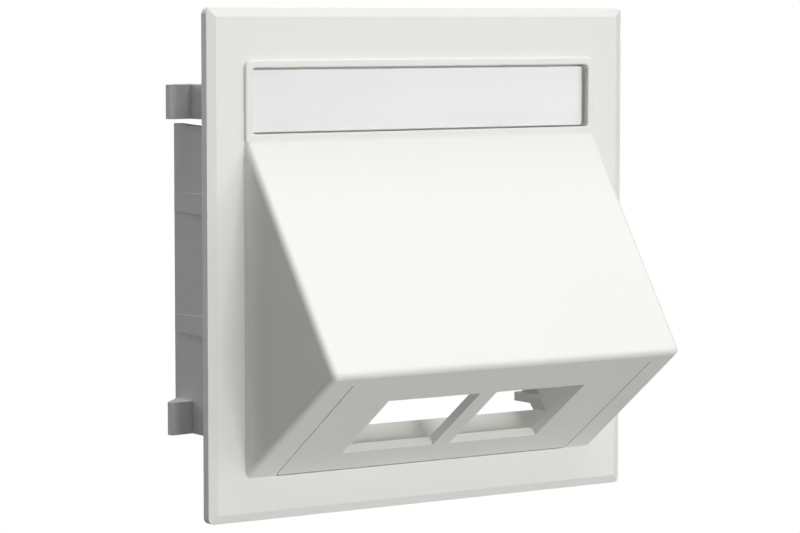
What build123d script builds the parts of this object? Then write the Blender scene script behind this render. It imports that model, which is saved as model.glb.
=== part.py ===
from build123d import *
import math
import os

# Angled two-port data socket cover for a square wall opening.
# X is to the right, +Y goes into the wall, Z is up, millimetres.
# The origin is the centre of the square plate, on the wall surface.

# ---- cover plate ---------------------------------------------------------
plate_side = 80.0          # square plate, edge to edge
plate_corner_r = 1.0       # corner radius seen from the front
plate_edge_depth = 1.55    # straight outer edge, from the wall surface
plate_bevel = 1.4          # width of the sloping border
plate_front = 2.12         # wall surface to the flat front of the plate
plate_depth = 2.2          # wall surface to where the hood's outline starts
back_recess = 0.6          # shallow recess behind the plate, inside its rim
back_recess_half = 36.2

# ---- raised block and slanted hood ---------------------------------------
block_half = 33.7          # half width where the block and hood meet the plate
lip_half = 32.93           # half width at the front lip, moulding draft
block_top = 31.97
block_bottom = -33.1
block_depth = 2.72         # wall surface to the flat front of the block
block_corner_r = 1.3
block_edge_r = 0.34        # rounding of the block's front edge
ramp_top = 19.3            # bottom of the block, where the ramp leaves it
ramp_depth = block_depth   # wall surface to the ramp at that height
ramp_top_r = 0.7           # rounding where the block turns into the ramp
lip_y = -27.05             # front lip, as a sharp corner before rounding
lip_z = -15.0
wall = 1.8                 # wall of the hood
hood_edge_r = 1.05         # rounding of the ramp's and underside's side edges
lip_r = 1.0                # rounding of the lip

# ---- label recess, window and card ---------------------------------------
recess_half = 32.4
recess_low = 20.46
recess_high = 30.74
recess_floor = 0.25        # y of the channel around the label's seat
seat_front = -1.14         # y of the raised seat that carries the card
seat_inset = 0.12          # how far the seat stays inside the window's outline
recess_edge_r = 0.22
window_half = 32.08
window_low = 20.66
window_high = 30.44
window_front = -1.63
window_back = -1.41        # just clear of the card
window_edge_r = 0.08
card_half = 32.03
card_low = 20.71
card_high = 30.39
card_front = -1.39
card_back = seat_front

# ---- port insert ---------------------------------------------------------
# v runs along the underside of the hood from the plate to the lip,
# w runs into the hood, at right angles to the underside.
insert_half = 28.18
insert_gap = 0.08          # clearance to the cover at the bottom
insert_side_gap = 0.18     # clearance to the cover at the sides
insert_end = 27.95         # v of its front edge, which meets the cover
insert_face = 1.48         # thickness of the face
port_inner = 1.56          # half width of the bar between the ports
port_outer = 18.78
port_low = 5.68            # v of the ports' rear edge
port_high = 22.08          # v of the ports' front edge
cheek_wall = 1.48          # side wall of the insert
cheek_low = 0.8
cheek_high = 26.7
cheek_depth = 12.0
sill_wall = 1.3            # low wall behind the face, nearest the plate
sill_depth = 6.47
sill_drop = 0.7            # how much lower the sill is next to the cheeks

# ---- support frame -------------------------------------------------------
frame_half = 35.15         # outer faces of the frame
frame_wall = 1.6
collar_front = -back_recess
collar_back = 3.6          # closed square collar
rail_front = 2.0           # inward rails at the top and bottom
rail_low_edge = -27.28     # top of the bottom rail
rail_high_edge = 30.0      # bottom of the top rail
frame_back = 17.30
side_low = -22.3
side_high_front = 21.1
side_high_back = 21.7
hook_low = (-27.5, -22.3)
hook_high = (22.55, 27.95)
hook_lock_y = 11.85        # catching face, at the leg
hook_tip = 39.18           # tip of the hook, from the centre
hook_rib = 31.9            # inner edge of the legs' stiffening ribs

plate_half = plate_side / 2

# direction along the underside (towards the lip) and into the hood
dy = lip_y + plate_depth
dz = lip_z - block_bottom
under_length = math.hypot(dy, dz)
v_dir = (dy / under_length, dz / under_length)
w_dir = (dz / under_length, -dy / under_length)


def under(v, w):
    """Point (y, z) at distance v along the underside and w into the hood."""
    return (
        -plate_depth + v * v_dir[0] + w * w_dir[0],
        block_bottom + v * v_dir[1] + w * w_dir[1],
    )


def box(x0, x1, y0, y1, z0, z1):
    return Pos((x0 + x1) / 2, (y0 + y1) / 2, (z0 + z1) / 2) * Box(
        x1 - x0, y1 - y0, z1 - z0
    )


def prism_x(points, x0, x1):
    """Solid with the (y, z) outline, from x0 to x1."""
    face = make_face(Polyline(*[(x0, y, z) for y, z in points], close=True))
    return extrude(face, amount=x1 - x0, dir=(1, 0, 0))


def prism_z(points, z0, z1):
    """Solid with the (x, y) outline, from z0 to z1."""
    face = make_face(Polyline(*[(x, y, z0) for x, y in points], close=True))
    return extrude(face, amount=z1 - z0, dir=(0, 0, 1))


def prism_y(points, y0, y1):
    """Solid with the (x, z) outline, from y0 to y1."""
    face = make_face(Polyline(*[(x, y0, z) for x, z in points], close=True))
    return extrude(face, amount=y1 - y0, dir=(0, 1, 0))


# ======================= cover plate ======================================
# square plate with a sloping border
plate = box(-plate_half, plate_half, -plate_front, 0, -plate_half, plate_half)
plate = fillet(
    [e for e in plate.edges() if e.length < plate_depth + 0.1], plate_corner_r
)
slope = []
for sign in (1, -1):
    slope.append(
        prism_z(
            [
                (sign * plate_half, -plate_edge_depth),
                (sign * (plate_half - plate_bevel), -plate_front),
                (sign * (plate_half - plate_bevel), -plate_front - 1),
                (sign * (plate_half + 1), -plate_front - 1),
                (sign * (plate_half + 1), -plate_edge_depth),
            ],
            -plate_half - 1,
            plate_half + 1,
        )
    )
    slope.append(
        prism_x(
            [
                (-plate_edge_depth, sign * plate_half),
                (-plate_front, sign * (plate_half - plate_bevel)),
                (-plate_front - 1, sign * (plate_half - plate_bevel)),
                (-plate_front - 1, sign * (plate_half + 1)),
                (-plate_edge_depth, sign * (plate_half + 1)),
            ],
            -plate_half - 1,
            plate_half + 1,
        )
    )
for cut in slope:
    plate = plate - cut

# hood: side outline of ramp and underside, cut to a plan that narrows
# towards the lip
slope_x = (block_half - lip_half) / (-plate_depth - lip_y)


def half_at(y, base=block_half):
    return base + (y + plate_depth) * slope_x


hood_plan = prism_z(
    [
        (-half_at(-0.7), -0.7),
        (half_at(-0.7), -0.7),
        (half_at(lip_y - 2), lip_y - 2),
        (-half_at(lip_y - 2), lip_y - 2),
    ],
    -40,
    40,
)
ramp_slope = (ramp_top - lip_z) / (-ramp_depth - lip_y)
hood = (
    prism_x(
        [
            (-0.7, ramp_top + ramp_slope * (ramp_depth - 0.7)),
            (lip_y, lip_z),
            (-plate_depth, block_bottom),
            (-0.7, block_bottom),
        ],
        -block_half - 2,
        block_half + 2,
    )
    & hood_plan
)
if isinstance(hood, ShapeList):
    hood = hood[0]
hood = fillet(
    [
        e
        for e in hood.edges()
        if abs(e.center().X) < 0.1
        and abs(e.center().Y - lip_y) < 0.1
        and abs(e.center().Z - lip_z) < 0.1
    ],
    lip_r,
)
hood = fillet(
    [
        e
        for e in hood.edges()
        if abs(e.center().X) > 30 and e.bounding_box().min.Y < -3
    ],
    hood_edge_r,
)

# block: a low slab around the label, above the ramp
block = box(
    -block_half - 2, block_half + 2, -block_depth, -0.7, ramp_top, block_top
) & hood_plan
if isinstance(block, ShapeList):
    block = block[0]
block = fillet(
    [
        e
        for e in block.edges()
        if abs(e.center().Z - block_top) < 0.01 and abs(e.center().X) > 30
    ],
    block_corner_r,
)
block = fillet(
    [
        e
        for e in block.edges()
        if abs(e.center().Y + block_depth) < 0.02
        and abs(e.center().Z - ramp_top) > 0.01
    ],
    block_edge_r,
)

cover = plate + hood + block
cover = fillet(
    [
        e
        for e in cover.edges()
        if abs(e.center().X) < 0.1
        and abs(e.center().Y + block_depth) < 0.05
        and abs(e.center().Z - ramp_top) < 0.05
    ],
    ramp_top_r,
)

# cavity of the hood, open at the back
ramp_len = math.hypot(lip_y + ramp_depth, lip_z - ramp_top)
ramp_out = ((lip_z - ramp_top) / ramp_len, -(lip_y + ramp_depth) / ramp_len)
r0 = (-ramp_depth - wall * ramp_out[0], ramp_top - wall * ramp_out[1])
r_dir = ((lip_y + ramp_depth) / ramp_len, (lip_z - ramp_top) / ramp_len)
cavity_top = 19.0
t = (cavity_top - r0[1]) / r_dir[1]
p_top = (r0[0] + t * r_dir[0], cavity_top)
# corner where the inner faces of the ramp and the underside meet
u0 = under(0, wall)
det = r_dir[0] * (-v_dir[1]) - r_dir[1] * (-v_dir[0])
s = ((u0[0] - r0[0]) * (-v_dir[1]) - (u0[1] - r0[1]) * (-v_dir[0])) / det
p_lip = (r0[0] + s * r_dir[0], r0[1] + s * r_dir[1])
cavity_low = block_bottom + wall
k = (cavity_low - u0[1]) / v_dir[1]
p_low = (u0[0] + k * v_dir[0], cavity_low)
cavity_side = prism_x(
    [(2, cavity_top), p_top, p_lip, p_low, (2, cavity_low)],
    -block_half,
    block_half,
)
inner = block_half - wall
cavity_plan = prism_z(
    [
        (-half_at(2, inner), 2),
        (half_at(2, inner), 2),
        (half_at(lip_y, inner), lip_y),
        (-half_at(lip_y, inner), lip_y),
    ],
    -40,
    40,
)
cavity = cavity_side & cavity_plan
if isinstance(cavity, ShapeList):
    cavity = cavity[0]
cover = cover - cavity

# shallow recess behind the plate
cover = cover - (
    box(
        -back_recess_half,
        back_recess_half,
        -back_recess,
        1,
        -back_recess_half,
        back_recess_half,
    )
)

# pocket that holds the label, standing proud behind the plate
pocket_wall = 0.9
pocket = box(
    -recess_half - pocket_wall,
    recess_half + pocket_wall,
    -1.6,
    recess_floor + 0.6,
    recess_low - 1.2,
    recess_high + 1.2,
)
cover = cover + pocket
recess = box(
    -recess_half,
    recess_half,
    -block_depth - 1,
    recess_floor,
    recess_low,
    recess_high,
)
recess = fillet(
    [e for e in recess.edges() if abs(e.center().Y - (recess_floor - block_depth - 1) / 2) < 0.3
     and abs(abs(e.center().X) - recess_half) < 0.01
     and min(abs(e.center().Z - recess_low), abs(e.center().Z - recess_high)) < 0.01],
    0.6,
)
cover = cover - recess
cover = cover + box(
    -window_half + seat_inset,
    window_half - seat_inset,
    seat_front,
    recess_floor + 0.1,
    window_low + seat_inset,
    window_high - seat_inset,
)
cover = fillet(
    [
        e
        for e in cover.edges()
        if abs(e.center().Y + block_depth) < 0.01
        and e.bounding_box().max.Z < recess_high + 0.05
        and e.bounding_box().min.Z > recess_low - 0.05
        and e.bounding_box().max.X < recess_half + 0.05
        and e.bounding_box().min.X > -recess_half - 0.05
    ],
    recess_edge_r,
)

# opening for the port insert, through the underside and the plate
open_half = insert_half + insert_side_gap
opening = prism_x(
    [
        (2, block_bottom - insert_gap),
        (-plate_depth - 0.4, block_bottom - insert_gap),
        under(insert_end, -0.6),
        under(insert_end, wall + 1.5),
        (2, -22.0),
    ],
    -open_half,
    open_half,
)
opening_corners = [
    e
    for e in opening.edges()
    if abs(abs(e.center().X) - open_half) < 0.01
    and abs(e.center().Z - (block_bottom - insert_gap)) < 0.01
]
opening = fillet(opening_corners, 0.7)
cover = cover - opening

# snap tongues behind the plate, two on each side
for sign in (1, -1):
    for z0 in (-14.0, 6.0):
        x_in, x_out = sorted((sign * 31.85, sign * 33.4))
        tongue = box(x_in, x_out, -1.4, 6.0, z0, z0 + 8.0)
        catch = prism_z(
            [
                (sign * 33.0, 3.2),
                (sign * 34.1, 3.2),
                (sign * 34.1, 3.6),
                (sign * 33.4, 5.6),
                (sign * 33.0, 5.6),
            ],
            z0 + 1.0,
            z0 + 7.0,
        )
        cover = cover + tongue + catch

# ======================= port insert ======================================
# local x = X, local y = -v, local z = w
deck = Plane(
    origin=(0, -plate_depth, block_bottom),
    x_dir=(1, 0, 0),
    z_dir=(0, w_dir[0], w_dir[1]),
)


def deck_box(x0, x1, v0, v1, w0, w1):
    return deck * (
        Pos((x0 + x1) / 2, -(v0 + v1) / 2, (w0 + w1) / 2)
        * Box(x1 - x0, v1 - v0, w1 - w0)
    )


face_plate = Pos(0, -(insert_gap + insert_end) / 2, insert_face / 2) * Box(
    2 * insert_half, insert_end - insert_gap, insert_face
)
face_plate = fillet(
    [
        e
        for e in face_plate.edges()
        if abs(e.center().Z - insert_face / 2) < 0.01
        and abs(e.center().Y + insert_gap) < 0.01
    ],
    0.6,
)
insert = deck * face_plate
for sign in (1, -1):
    x_in, x_out = sorted((sign * (insert_half - cheek_wall), sign * insert_half))
    insert = insert + deck_box(x_in, x_out, cheek_low, cheek_high, 0.5, cheek_depth)
    # snap ridges that sit behind the underside of the cover
    for v0 in (6.0, 17.0):
        ridge_points = [
            (sign * (insert_half - 0.4), wall + 0.15),
            (sign * (insert_half + 0.5), wall + 0.15),
            (sign * (insert_half + 0.5), wall + 0.5),
            (sign * insert_half, wall + 1.8),
            (sign * (insert_half - 0.4), wall + 1.8),
        ]
        ridge_face = make_face(
            Polyline(*[(x, -v0, w) for x, w in ridge_points], close=True)
        )
        ridge = extrude(ridge_face, amount=4.5, dir=(0, -1, 0))
        insert = insert + deck * ridge
# low wall next to the plate, a little lower towards its ends
sill_points = [
    (-(insert_half - 0.5), 0.5),
    (insert_half - 0.5, 0.5),
    (insert_half - 0.5, sill_depth - sill_drop),
    (insert_half - cheek_wall - 0.2, sill_depth - sill_drop),
    (insert_half - cheek_wall - 2.6, sill_depth),
    (-(insert_half - cheek_wall - 2.6), sill_depth),
    (-(insert_half - cheek_wall - 0.2), sill_depth - sill_drop),
    (-(insert_half - 0.5), sill_depth - sill_drop),
]
sill_face = make_face(
    Polyline(*[(x, -cheek_low, w) for x, w in sill_points], close=True)
)
insert = insert + deck * extrude(sill_face, amount=sill_wall, dir=(0, -1, 0))
# wall nearest the lip
insert = insert + deck_box(
    -insert_half + 0.3, insert_half - 0.3, cheek_high - 1.3, cheek_high, 0.5, 6.0
)
# ports
for sign in (1, -1):
    x_in, x_out = sorted((sign * port_inner, sign * port_outer))
    insert = insert - deck_box(x_in, x_out, port_low, port_high, -1, insert_face + 1)
# small round moulding hole in each cheek
for sign in (1, -1):
    pin = deck * (
        Pos(sign * insert_half, -6.2, 8.6) * Rot(0, 90, 0) * Cylinder(0.5, 6.0)
    )
    insert = insert - pin

# ======================= label window and card ============================
window = box(
    -window_half, window_half, window_front, window_back, window_low, window_high
)
window = fillet(
    [
        e
        for e in window.edges()
        if abs(abs(e.center().X) - window_half) < 0.01
        and min(abs(e.center().Z - window_low), abs(e.center().Z - window_high)) < 0.01
    ],
    0.45,
)
window = fillet(window.faces().sort_by(Axis.Y)[0].edges(), window_edge_r)

card = box(-card_half, card_half, card_front, card_back, card_low, card_high)
card = fillet(
    [
        e
        for e in card.edges()
        if abs(abs(e.center().X) - card_half) < 0.01
        and min(abs(e.center().Z - card_low), abs(e.center().Z - card_high)) < 0.01
    ],
    0.4,
)

# ======================= support frame ====================================
frame_in = frame_half - frame_wall
collar = box(
    -frame_half, frame_half, collar_front, collar_back, -frame_half, frame_half
) - box(-frame_in, frame_in, collar_front - 1, collar_back + 1, -frame_in, frame_in)
collar = fillet(
    [
        e
        for e in collar.edges()
        if abs(abs(e.center().X) - frame_half) < 0.01
        and abs(abs(e.center().Z) - frame_half) < 0.01
    ],
    0.8,
)
frame = collar
frame = frame + box(
    -frame_in - 0.5, frame_in + 0.5, rail_front, collar_back, -frame_in - 0.5, rail_low_edge
)
frame = frame + box(
    -frame_in - 0.5, frame_in + 0.5, rail_front, collar_back, rail_high_edge, frame_in + 0.5
)
for sign in (1, -1):
    x_in, x_out = sorted((sign * frame_in, sign * frame_half))
    # side wall, its top edge slightly sloping
    frame = frame + prism_x(
        [
            (collar_back - 1, side_low),
            (frame_back, side_low),
            (frame_back, side_high_back),
            (collar_back - 1, side_high_front),
        ],
        x_in,
        x_out,
    )
    # two wedge-shaped pads on the outside of the wall
    for z0, z1 in ((7.62, 10.7), (-11.66, -8.68)):
        wedge = prism_z(
            [
                (sign * (frame_half - 0.4), frame_back),
                (sign * (frame_half + 0.02), frame_back),
                (sign * (frame_half + 0.45), collar_back),
                (sign * (frame_half - 0.4), collar_back),
            ],
            z0 - 0.4,
            z1 + 0.4,
        )
        side = prism_x(
            [
                (frame_back + 0.1, z0 + 0.1),
                (frame_back + 0.1, z1 - 0.1),
                (collar_back - 0.1, z1 + 0.25),
                (collar_back - 0.1, z0 - 0.25),
            ],
            *sorted((sign * (frame_half - 0.4), sign * (frame_half + 1.0))),
        )
        wedge = wedge & side
        if isinstance(wedge, ShapeList):
            wedge = wedge[0]
        frame = frame + wedge
    # spring legs with a hook that grips behind the wall opening
    for z0, z1 in (hook_low, hook_high):
        frame = frame + box(x_in, x_out, collar_back - 1, frame_back, z0, z1)
        barb = prism_z(
            [
                (sign * (frame_half - 0.5), hook_lock_y),
                (sign * frame_half, hook_lock_y),
                (sign * hook_tip, hook_lock_y - 0.55),
                (sign * (hook_tip + 0.05), hook_lock_y + 0.75),
                (sign * (frame_half + 0.3), frame_back - 0.75),
                (sign * (frame_half - 0.5), frame_back - 0.75),
            ],
            z0,
            z1,
        )
        frame = frame + barb
        # stiffening ribs along both edges of the leg, on its inner side
        for r0_, r1_ in ((z0, z0 + 1.5), (z1 - 1.5, z1)):
            rx0, rx1 = sorted((sign * hook_rib, sign * (frame_in + 0.2)))
            frame = frame + box(rx0, rx1, collar_back - 1, frame_back, r0_, r1_)
        # gusset at the foot of the leg
        outer = z0 if z0 < 0 else z1
        away = -1 if z0 < 0 else 1
        gx0, gx1 = sorted((sign * (hook_rib - 1.0), sign * (hook_rib + 0.3)))
        frame = frame + prism_x(
            [
                (collar_back - 0.8, outer - away * 1.5),
                (11.2, outer - away * 1.5),
                (11.2, outer),
                (8.8, outer + away * 2.4),
                (collar_back - 0.8, outer + away * 2.4),
            ],
            gx0,
            gx1,
        )
    # windows for the cover's snap tongues
    for z0 in (-14.0, 6.0):
        wx0, wx1 = sorted((sign * (frame_in - 1), sign * (frame_half + 1)))
        frame = frame - box(wx0, wx1, 3.0, 6.0, z0 + 0.7, z0 + 7.3)

# ======================= write out ========================================
os.makedirs("parts", exist_ok=True)
parts = {
    "cover_plate": cover,
    "port_insert": insert,
    "label_window": window,
    "label_card": card,
    "support_frame": frame,
}
for name, shape in parts.items():
    solids = shape.solids()
    print(name, len(solids), [round(s.volume, 1) for s in solids])
    body = solids[0] if len(solids) == 1 else Compound(children=list(solids))
    export_step(body, os.path.join("parts", name + ".step"))
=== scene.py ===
import math

import bpy
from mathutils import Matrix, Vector

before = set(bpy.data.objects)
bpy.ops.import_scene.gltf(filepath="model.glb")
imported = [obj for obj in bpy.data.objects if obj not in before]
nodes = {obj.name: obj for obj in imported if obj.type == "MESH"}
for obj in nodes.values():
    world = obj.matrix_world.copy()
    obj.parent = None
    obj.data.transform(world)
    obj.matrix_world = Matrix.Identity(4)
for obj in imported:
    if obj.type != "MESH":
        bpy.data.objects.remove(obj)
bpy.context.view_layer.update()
scene = bpy.context.scene

# ---------------------------------------------------------------- camera
cam_data = bpy.data.cameras.new("camera")
cam_data.sensor_fit = "HORIZONTAL"
cam_data.sensor_width = 36.0
cam_data.lens = 36.0 * 3014.654 / 800.0
cam_data.clip_start = 0.01
cam_data.clip_end = 50.0
camera = bpy.data.objects.new("camera", cam_data)
camera.location = (-0.271518, -0.402795, 0.038382)
camera.rotation_euler = (math.pi / 2 - 0.0822079, 0.0, -0.587341)
scene.collection.objects.link(camera)
scene.camera = camera

scene.view_settings.view_transform = "Standard"
scene.view_settings.look = "None"
scene.view_settings.exposure = 0.0
scene.view_settings.gamma = 1.0
scene.cycles.max_bounces = 12
scene.cycles.diffuse_bounces = 6
scene.cycles.glossy_bounces = 4
scene.cycles.transmission_bounces = 8
scene.cycles.transparent_max_bounces = 12
scene.cycles.caustics_reflective = False
scene.cycles.caustics_refractive = False


# ------------------------------------------------------------- materials
def new_material(name):
    mat = bpy.data.materials.new(name)
    mat.use_nodes = True
    tree = mat.node_tree
    tree.nodes.clear()
    out = tree.nodes.new("ShaderNodeOutputMaterial")
    shader = tree.nodes.new("ShaderNodeBsdfPrincipled")
    tree.links.new(shader.outputs["BSDF"], out.inputs["Surface"])
    return mat, tree, shader


def coords(tree, scale=(1.0, 1.0, 1.0), turn=(0.0, 0.0, 0.0)):
    geo = tree.nodes.new("ShaderNodeTexCoord")
    mapping = tree.nodes.new("ShaderNodeMapping")
    mapping.inputs["Scale"].default_value = scale
    mapping.inputs["Rotation"].default_value = turn
    tree.links.new(geo.outputs["Object"], mapping.inputs["Vector"])
    return mapping.outputs["Vector"]


def noise(tree, vector, scale, detail=2.0, rough=0.5, distort=0.0):
    n = tree.nodes.new("ShaderNodeTexNoise")
    n.inputs["Scale"].default_value = scale
    n.inputs["Detail"].default_value = detail
    n.inputs["Roughness"].default_value = rough
    n.inputs["Distortion"].default_value = distort
    tree.links.new(vector, n.inputs["Vector"])
    return n.outputs["Fac"]


def remap(tree, value, low, high, out_low, out_high):
    m = tree.nodes.new("ShaderNodeMapRange")
    m.inputs["From Min"].default_value = low
    m.inputs["From Max"].default_value = high
    m.inputs["To Min"].default_value = out_low
    m.inputs["To Max"].default_value = out_high
    tree.links.new(value, m.inputs["Value"])
    return m.outputs["Result"]


def ramp(tree, value, stops):
    r = tree.nodes.new("ShaderNodeValToRGB")
    els = r.color_ramp.elements
    while len(els) < len(stops):
        els.new(0.5)
    for el, (pos, colour) in zip(els, stops):
        el.position = pos
        el.color = (*colour, 1.0)
    tree.links.new(value, r.inputs["Fac"])
    return r.outputs["Color"]


def bump(tree, height, distance, strength=1.0, normal=None):
    b = tree.nodes.new("ShaderNodeBump")
    b.inputs["Distance"].default_value = distance
    b.inputs["Strength"].default_value = strength
    tree.links.new(height, b.inputs["Height"])
    if normal is not None:
        tree.links.new(normal, b.inputs["Normal"])
    return b.outputs["Normal"]


def moulded(name, colour, shade, roughness, grain, flow=(1.0, 1.0, 1.0)):
    """Moulded plastic: slow shade changes from the melt's flow, fine
    spark-eroded grain, and a roughness that follows both."""
    mat, tree, shader = new_material(name)
    at = coords(tree)
    cloud = noise(tree, coords(tree, flow), 38.0, 3.0, 0.55, 0.4)
    speck = noise(tree, at, 5200.0, 2.0, 0.6)
    fine = noise(tree, at, 3400.0, 3.0, 0.62)
    wave = noise(tree, at, 160.0, 2.0, 0.5)
    tint = ramp(
        tree,
        cloud,
        [
            (0.30, tuple(c * (1 - shade) for c in colour)),
            (0.52, colour),
            (0.74, tuple(min(0.98, c * (1 + 0.7 * shade)) for c in colour)),
        ],
    )
    tree.links.new(tint, shader.inputs["Base Color"])
    mix = tree.nodes.new("ShaderNodeMix")
    mix.data_type = "FLOAT"
    mix.inputs["Factor"].default_value = 0.5
    tree.links.new(cloud, mix.inputs["A"])
    tree.links.new(speck, mix.inputs["B"])
    tree.links.new(
        remap(tree, mix.outputs["Result"], 0.3, 0.7, roughness - 0.05, roughness + 0.06),
        shader.inputs["Roughness"],
    )
    soft = bump(tree, wave, 0.000006)
    tree.links.new(bump(tree, fine, grain, 1.0, soft), shader.inputs["Normal"])
    shader.inputs["IOR"].default_value = 1.5
    shader.inputs["Specular IOR Level"].default_value = 0.5
    return mat


cover_plastic = moulded("cover_plastic", (0.864, 0.862, 0.828), 0.008, 0.42, 0.000012)
insert_plastic = moulded("insert_plastic", (0.860, 0.857, 0.824), 0.010, 0.44, 0.000012)
frame_plastic = moulded("frame_plastic", (0.70, 0.70, 0.70), 0.02, 0.55, 0.000020)

# clear window: light passes straight through the thin sheet, and its
# polished faces mirror a little, with a faint haze left by moulding
clear_plastic, tree, shader = new_material("clear_plastic")
at = coords(tree)
haze = noise(tree, at, 60.0, 2.0, 0.5)
ripple = bump(tree, noise(tree, at, 90.0, 2.0, 0.5), 0.000004)
tree.nodes.remove(shader)
clear = tree.nodes.new("ShaderNodeBsdfTransparent")
clear.inputs["Color"].default_value = (0.985, 0.987, 0.987, 1.0)
gloss = tree.nodes.new("ShaderNodeBsdfGlossy")
gloss.inputs["Color"].default_value = (1.0, 1.0, 1.0, 1.0)
tree.links.new(remap(tree, haze, 0.3, 0.7, 0.10, 0.16), gloss.inputs["Roughness"])
tree.links.new(ripple, gloss.inputs["Normal"])
facing = tree.nodes.new("ShaderNodeLayerWeight")
facing.inputs["Blend"].default_value = 0.5
tree.links.new(ripple, facing.inputs["Normal"])
grazing = tree.nodes.new("ShaderNodeMath")
grazing.operation = "POWER"
grazing.inputs[1].default_value = 5.0
tree.links.new(facing.outputs["Facing"], grazing.inputs[0])
mirror = remap(tree, grazing.outputs["Value"], 0.0, 1.0, 0.04, 0.95)
pane = tree.nodes.new("ShaderNodeMixShader")
tree.links.new(mirror, pane.inputs["Fac"])
tree.links.new(clear.outputs["BSDF"], pane.inputs[1])
tree.links.new(gloss.outputs["BSDF"], pane.inputs[2])
# the strip's long cut edges are coloured near black as painted shade for the narrow gap
# around the strip, and its moulded ends are coloured pale as painted light
cut = tree.nodes.new("ShaderNodeBsdfPrincipled")
cut.inputs["Roughness"].default_value = 0.6
saw = noise(tree, coords(tree, (1.0, 0.15, 1.0)), 3000.0, 2.0, 0.6)
faces = tree.nodes.new("ShaderNodeTexCoord")
split = tree.nodes.new("ShaderNodeSeparateXYZ")
tree.links.new(faces.outputs["Normal"], split.inputs["Vector"])
ends = tree.nodes.new("ShaderNodeMath")
ends.operation = "ABSOLUTE"
tree.links.new(split.outputs["X"], ends.inputs[0])
shade_and_light_painted_tone = tree.nodes.new("ShaderNodeMix")
shade_and_light_painted_tone.data_type = "RGBA"
tree.links.new(remap(tree, ends.outputs["Value"], 0.5, 0.8, 0.0, 1.0), shade_and_light_painted_tone.inputs["Factor"])
# painted shade: near-black colour on the long cut edges stands in for the shade inside the
# narrow gap
tree.links.new(
    ramp(tree, saw, [(0.3, (0.03, 0.03, 0.03)), (0.7, (0.07, 0.07, 0.07))]),
    shade_and_light_painted_tone.inputs[6],
)
# painted light: pale colour on the strip's ends stands in for their bright lit look
tree.links.new(
    ramp(tree, saw, [(0.3, (0.90, 0.90, 0.89)), (0.7, (0.95, 0.95, 0.94))]),
    shade_and_light_painted_tone.inputs[7],
)
tree.links.new(shade_and_light_painted_tone.outputs[2], cut.inputs["Base Color"])
tree.links.new(bump(tree, saw, 0.00003), cut.inputs["Normal"])
size = tree.nodes.new("ShaderNodeMath")
size.operation = "ABSOLUTE"
tree.links.new(split.outputs["Y"], size.inputs[0])
edge = remap(tree, size.outputs["Value"], 0.25, 0.45, 1.0, 0.0)
strip = tree.nodes.new("ShaderNodeMixShader")
tree.links.new(edge, strip.inputs["Fac"])
tree.links.new(pane.outputs["Shader"], strip.inputs[1])
tree.links.new(cut.outputs["BSDF"], strip.inputs[2])
out = next(n for n in tree.nodes if n.type == "OUTPUT_MATERIAL")
tree.links.new(strip.outputs["Shader"], out.inputs["Surface"])

# label card: uncoated paper with short fibres
label_paper, tree, shader = new_material("label_paper")
at = coords(tree)
fibre = noise(tree, coords(tree, (0.25, 1.0, 1.0), (0.0, 0.5, 0.0)), 2600.0, 3.0, 0.6, 1.2)
cloud = noise(tree, at, 220.0, 3.0, 0.6)
both = tree.nodes.new("ShaderNodeMix")
both.data_type = "FLOAT"
both.inputs["Factor"].default_value = 0.4
tree.links.new(fibre, both.inputs["A"])
tree.links.new(cloud, both.inputs["B"])
tree.links.new(
    ramp(
        tree,
        both.outputs["Result"],
        [(0.3, (0.925, 0.927, 0.930)), (0.7, (0.950, 0.952, 0.954))],
    ),
    shader.inputs["Base Color"],
)
tree.links.new(
    remap(tree, fibre, 0.3, 0.7, 0.82, 0.95), shader.inputs["Roughness"]
)
tree.links.new(bump(tree, fibre, 0.00001), shader.inputs["Normal"])
shader.inputs["Specular IOR Level"].default_value = 0.3

MATERIALS = {
    "cover_plate": cover_plastic,
    "port_insert": insert_plastic,
    "label_window": clear_plastic,
    "label_card": label_paper,
    "support_frame": frame_plastic,
}
for name, mat in MATERIALS.items():
    obj = nodes[name]
    for index in range(len(obj.material_slots)):
        obj.material_slots[index].material = mat


# ----------------------------------------------------------------- stage
def stage_material(name, colour, seen):
    """Matt surface that looks evenly lit to the camera."""
    mat, tree, shader = new_material(name)
    shader.inputs["Base Color"].default_value = (*colour, 1.0)
    shader.inputs["Roughness"].default_value = 0.9
    shader.inputs["Specular IOR Level"].default_value = 0.1
    glow = tree.nodes.new("ShaderNodeEmission")
    glow.inputs["Color"].default_value = (1.0, 1.0, 1.0, 1.0)
    glow.inputs["Strength"].default_value = seen
    path = tree.nodes.new("ShaderNodeLightPath")
    mix = tree.nodes.new("ShaderNodeMixShader")
    tree.links.new(path.outputs["Is Camera Ray"], mix.inputs["Fac"])
    tree.links.new(shader.outputs["BSDF"], mix.inputs[1])
    tree.links.new(glow.outputs["Emission"], mix.inputs[2])
    out = next(n for n in tree.nodes if n.type == "OUTPUT_MATERIAL")
    tree.links.new(mix.outputs["Shader"], out.inputs["Surface"])
    return mat


floor_mesh = bpy.data.meshes.new("floor")
half, level = 4.0, -0.45
floor_mesh.from_pydata(
    [(-half, -half, level), (half, -half, level), (half, half, level), (-half, half, level)],
    [],
    [(0, 1, 2, 3)],
)
floor_mesh.materials.append(stage_material("floor_matt", (0.30, 0.30, 0.295), 1.0))
floor = bpy.data.objects.new("floor", floor_mesh)
scene.collection.objects.link(floor)

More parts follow.
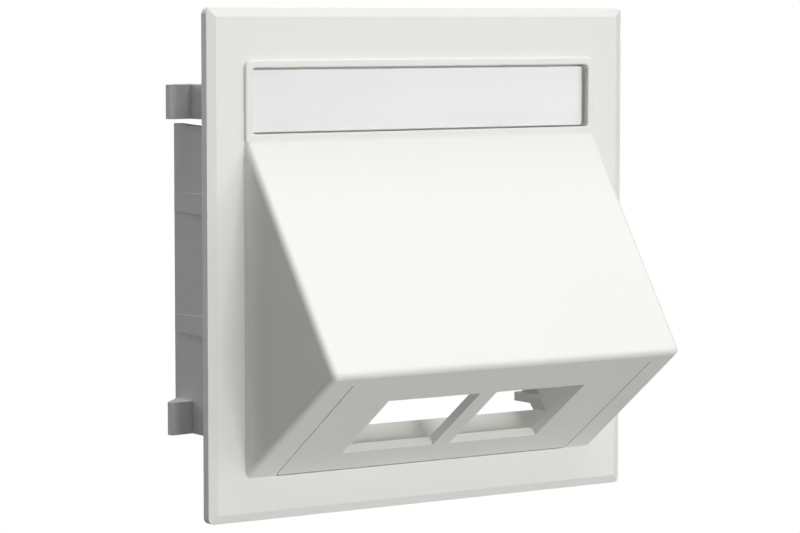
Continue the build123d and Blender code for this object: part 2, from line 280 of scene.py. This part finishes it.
world = bpy.data.worlds.new("studio")
world.use_nodes = True
scene.world = world
wt = world.node_tree
wt.nodes.clear()
w_out = wt.nodes.new("ShaderNodeOutputWorld")
w_mix = wt.nodes.new("ShaderNodeMixShader")
w_path = wt.nodes.new("ShaderNodeLightPath")
w_fill = wt.nodes.new("ShaderNodeBackground")
w_seen = wt.nodes.new("ShaderNodeBackground")
w_fill.inputs["Color"].default_value = (1.0, 1.0, 1.0, 1.0)
w_fill.inputs["Strength"].default_value = 0.0
w_seen.inputs["Color"].default_value = (1.0, 1.0, 1.0, 1.0)
w_seen.inputs["Strength"].default_value = 1.0
wt.links.new(w_path.outputs["Is Camera Ray"], w_mix.inputs["Fac"])
wt.links.new(w_fill.outputs["Background"], w_mix.inputs[1])
wt.links.new(w_seen.outputs["Background"], w_mix.inputs[2])
wt.links.new(w_mix.outputs["Shader"], w_out.inputs["Surface"])

# ---------------------------------------------------------------- lights
# name, azimuth (0 in front, 90 to the right), elevation, distance, size, watts
LIGHTS = [
    ("front", 0.0, -3.0, 1.2, 0.6, 7.0),
    ("front_high", 0.0, 28.0, 1.2, 0.7, 0.85),
    ("right_low", 33.0, -1.0, 1.2, 0.45, 1.1),
    ("right", 45.0, 15.0, 1.2, 0.7, 1.9),
    ("right_high", 45.0, 65.0, 1.2, 0.8, 2.8),
    ("overhead", 0.0, 88.0, 1.2, 0.8, 9.8),
    ("left", -90.0, 5.0, 1.2, 0.7, 1.0),
    ("back_left", -150.0, 20.0, 1.2, 0.7, 3.3),
    ("back_high", -150.0, 60.0, 1.2, 0.8, 1.6),
    ("wide", 0.0, 35.0, 1.2, 2.4, 0.35),
]
centre = Vector((0.0, -0.005, 0.0))
for name, azimuth, elevation, distance, size, watts in LIGHTS:
    a, e = math.radians(azimuth), math.radians(elevation)
    offset = Vector((math.sin(a) * math.cos(e), -math.cos(a) * math.cos(e), math.sin(e)))
    data = bpy.data.lights.new("light_" + name, "AREA")
    data.shape = "SQUARE"
    data.size = size
    data.energy = watts
    lamp = bpy.data.objects.new("light_" + name, data)
    lamp.location = centre + offset * distance
    lamp.rotation_euler = (-offset).to_track_quat("-Z", "Y").to_euler()
    lamp.visible_camera = False
    scene.collection.objects.link(lamp)
